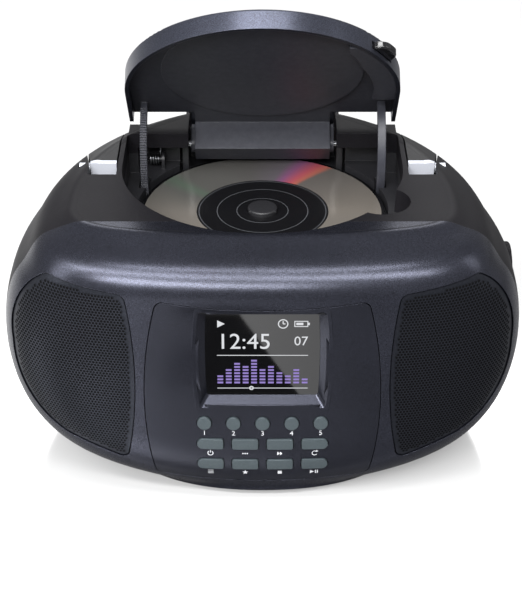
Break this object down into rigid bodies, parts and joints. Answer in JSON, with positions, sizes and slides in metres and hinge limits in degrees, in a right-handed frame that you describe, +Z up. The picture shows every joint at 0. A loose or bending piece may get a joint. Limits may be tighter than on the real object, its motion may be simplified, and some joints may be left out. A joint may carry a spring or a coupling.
{
  "type": "portable disc radio",
  "caption": "Portable black radio with an open CD lid, round speakers behind grilles, a colour display, small keys, a telescopic aerial and a folding carrying handle.",
  "frame": {"origin": "on the standing surface, straight under the disc's spindle", "axes": "+Z up, -Y towards the front with the display, +X to the right seen from the front"},
  "size_m": [0.2436, 0.1987, 0.2086],
  "materials": {
    "front_plastic": "satin",
    "rear_plastic": "textured",
    "lid_plastic": "satin",
    "well_plastic": "satin",
    "panel_plastic": "satin",
    "grille_metal": "perforated",
    "screen_glass": "polished",
    "key_plastic": "satin",
    "tab_plastic": "polished",
    "disc_face": "polished",
    "bright_metal": "polished",
    "steel": "brushed",
    "brass_metal": "satin",
    "cone_paper": "matte",
    "board_resin": "satin",
    "inner_plastic": "matte",
    "foot_rubber": "matte",
    "lens_glass": "polished"
  },
  "bodies": {
    "housing": {"front_shell": "front_plastic", "rear_shell": "rear_plastic", "cd_well": "well_plastic", "control_panel": "panel_plastic", "display_lens": "screen_glass", "display_module": "inner_plastic", "button_board": "board_resin", "left_grille": "grille_metal", "right_grille": "grille_metal", "left_speaker_frame": "steel", "right_speaker_frame": "steel", "left_speaker_cone": "cone_paper", "right_speaker_cone": "cone_paper", "lid_spring": "steel", "damper_housing": "inner_plastic", "mech_chassis": "steel", "spindle_motor": "steel", "guide_rods": "steel", "main_board": "board_resin", "power_board": "board_resin", "mains_inlet": "inner_plastic", "audio_jacks": "inner_plastic", "volume_control": "inner_plastic", "battery_contacts": "brass_metal", "latch_catch": "well_plastic", "feet": "foot_rubber", "housing_screws": "steel", "aerial_bracket": "inner_plastic"},
    "lid": {"lid_shell": "lid_plastic", "lid_liner": "lid_plastic", "latch_cover": "lid_plastic", "hinge_pins": "steel"},
    "release_tab": {"latch_button": "tab_plastic"},
    "damper": {"damper_pinion": "inner_plastic"},
    "spindle": {"turntable_hub": "inner_plastic", "compact_disc": "disc_face"},
    "sled": {"pickup_sled": "inner_plastic", "pickup_lens": "lens_glass"},
    "carry_handle": {"handle": "rear_plastic", "handle_ends": "bright_metal"},
    "volume": {"volume_knob": "rear_plastic"},
    "door": {"battery_door": "rear_plastic"},
    "aerial_swing": {"aerial_base": "bright_metal"},
    "aerial_stage": {"aerial_mast": "bright_metal"},
    "aerial_end": {"aerial_tip": "bright_metal"},
    "preset_1": {"preset_button_1": "key_plastic"},
    "preset_2": {"preset_button_2": "key_plastic"},
    "preset_3": {"preset_button_3": "key_plastic"},
    "preset_4": {"preset_button_4": "key_plastic"},
    "preset_5": {"preset_button_5": "key_plastic"},
    "key_1": {"function_button_1": "key_plastic"},
    "key_2": {"function_button_2": "key_plastic"},
    "key_3": {"function_button_3": "key_plastic"},
    "key_4": {"function_button_4": "key_plastic"},
    "key_5": {"function_button_5": "key_plastic"},
    "key_6": {"function_button_6": "key_plastic"},
    "key_7": {"function_button_7": "key_plastic"},
    "key_8": {"function_button_8": "key_plastic"}
  },
  "joints": [
    {"name": "lid_hinge", "type": "hinge", "parent": "housing", "child": "lid", "pos_m": [0, 0.0515, 0.11], "axis": [1, 0, 0], "range_deg": [0, 50], "stiffness_Nm_per_rad": 0.02, "springref_deg": -131.78},
    {"name": "damper_turn", "type": "hinge", "parent": "housing", "child": "damper", "pos_m": [-0.0591, 0.02408, 0.08858], "axis": [1, 0, 0], "range_deg": [-575, 5]},
    {"name": "release_press", "type": "slide", "parent": "lid", "child": "release_tab", "axis": [-0.8387, 0.3501, -0.4172], "range_m": [0, 0.0012], "stiffness_N_per_m": 400, "springref_m": -0.0006},
    {"name": "disc_spin", "type": "hinge", "parent": "housing", "child": "spindle", "pos_m": [0, 0, 0.098], "axis": [0, 0, 1], "continuous": true},
    {"name": "sled_travel", "type": "slide", "parent": "housing", "child": "sled", "axis": [0, -1, 0], "range_m": [0, 0.029]},
    {"name": "handle_swing", "type": "hinge", "parent": "housing", "child": "carry_handle", "pos_m": [0, 0.008, 0.118], "axis": [1, 0, 0], "range_deg": [0, 55]},
    {"name": "volume_turn", "type": "hinge", "parent": "housing", "child": "volume", "pos_m": [0.118, -0.012, 0.072], "axis": [1, 0, 0], "range_deg": [-150, 150]},
    {"name": "door_lift", "type": "slide", "parent": "housing", "child": "door", "axis": [0, 1, 0], "range_m": [0, 0.012]},
    {"name": "aerial_swing_out", "type": "hinge", "parent": "housing", "child": "aerial_swing", "pos_m": [0.054, 0.08, 0.09], "axis": [0, 0, -1], "range_deg": [0, 90]},
    {"name": "aerial_pull", "type": "slide", "parent": "aerial_swing", "child": "aerial_stage", "axis": [-1, 0, 0], "range_m": [0, 0.08]},
    {"name": "aerial_pull_tip", "type": "slide", "parent": "aerial_stage", "child": "aerial_end", "axis": [-1, 0, 0], "range_m": [0, 0.08]},
    {"name": "preset_1_press", "type": "slide", "parent": "housing", "child": "preset_1", "axis": [0, 1, 0], "range_m": [0, 0.0008], "stiffness_N_per_m": 300, "springref_m": -0.001},
    {"name": "preset_2_press", "type": "slide", "parent": "housing", "child": "preset_2", "axis": [0, 1, 0], "range_m": [0, 0.0008], "stiffness_N_per_m": 300, "springref_m": -0.001},
    {"name": "preset_3_press", "type": "slide", "parent": "housing", "child": "preset_3", "axis": [0, 1, 0], "range_m": [0, 0.0008], "stiffness_N_per_m": 300, "springref_m": -0.001},
    {"name": "preset_4_press", "type": "slide", "parent": "housing", "child": "preset_4", "axis": [0, 1, 0], "range_m": [0, 0.0008], "stiffness_N_per_m": 300, "springref_m": -0.001},
    {"name": "preset_5_press", "type": "slide", "parent": "housing", "child": "preset_5", "axis": [0, 1, 0], "range_m": [0, 0.0008], "stiffness_N_per_m": 300, "springref_m": -0.001},
    {"name": "key_1_press", "type": "slide", "parent": "housing", "child": "key_1", "axis": [0, 1, 0], "range_m": [0, 0.0008], "stiffness_N_per_m": 300, "springref_m": -0.001},
    {"name": "key_2_press", "type": "slide", "parent": "housing", "child": "key_2", "axis": [0, 1, 0], "range_m": [0, 0.0008], "stiffness_N_per_m": 300, "springref_m": -0.001},
    {"name": "key_3_press", "type": "slide", "parent": "housing", "child": "key_3", "axis": [0, 1, 0], "range_m": [0, 0.0008], "stiffness_N_per_m": 300, "springref_m": -0.001},
    {"name": "key_4_press", "type": "slide", "parent": "housing", "child": "key_4", "axis": [0, 1, 0], "range_m": [0, 0.0008], "stiffness_N_per_m": 300, "springref_m": -0.001},
    {"name": "key_5_press", "type": "slide", "parent": "housing", "child": "key_5", "axis": [0, 1, 0], "range_m": [0, 0.0008], "stiffness_N_per_m": 300, "springref_m": -0.001},
    {"name": "key_6_press", "type": "slide", "parent": "housing", "child": "key_6", "axis": [0, 1, 0], "range_m": [0, 0.0008], "stiffness_N_per_m": 300, "springref_m": -0.001},
    {"name": "key_7_press", "type": "slide", "parent": "housing", "child": "key_7", "axis": [0, 1, 0], "range_m": [0, 0.0008], "stiffness_N_per_m": 300, "springref_m": -0.001},
    {"name": "key_8_press", "type": "slide", "parent": "housing", "child": "key_8", "axis": [0, 1, 0], "range_m": [0, 0.0008], "stiffness_N_per_m": 300, "springref_m": -0.001}
  ],
  "couplings": [
    {"joint": "damper_turn", "follows": "lid_hinge", "ratio": -11.429}
  ]
}
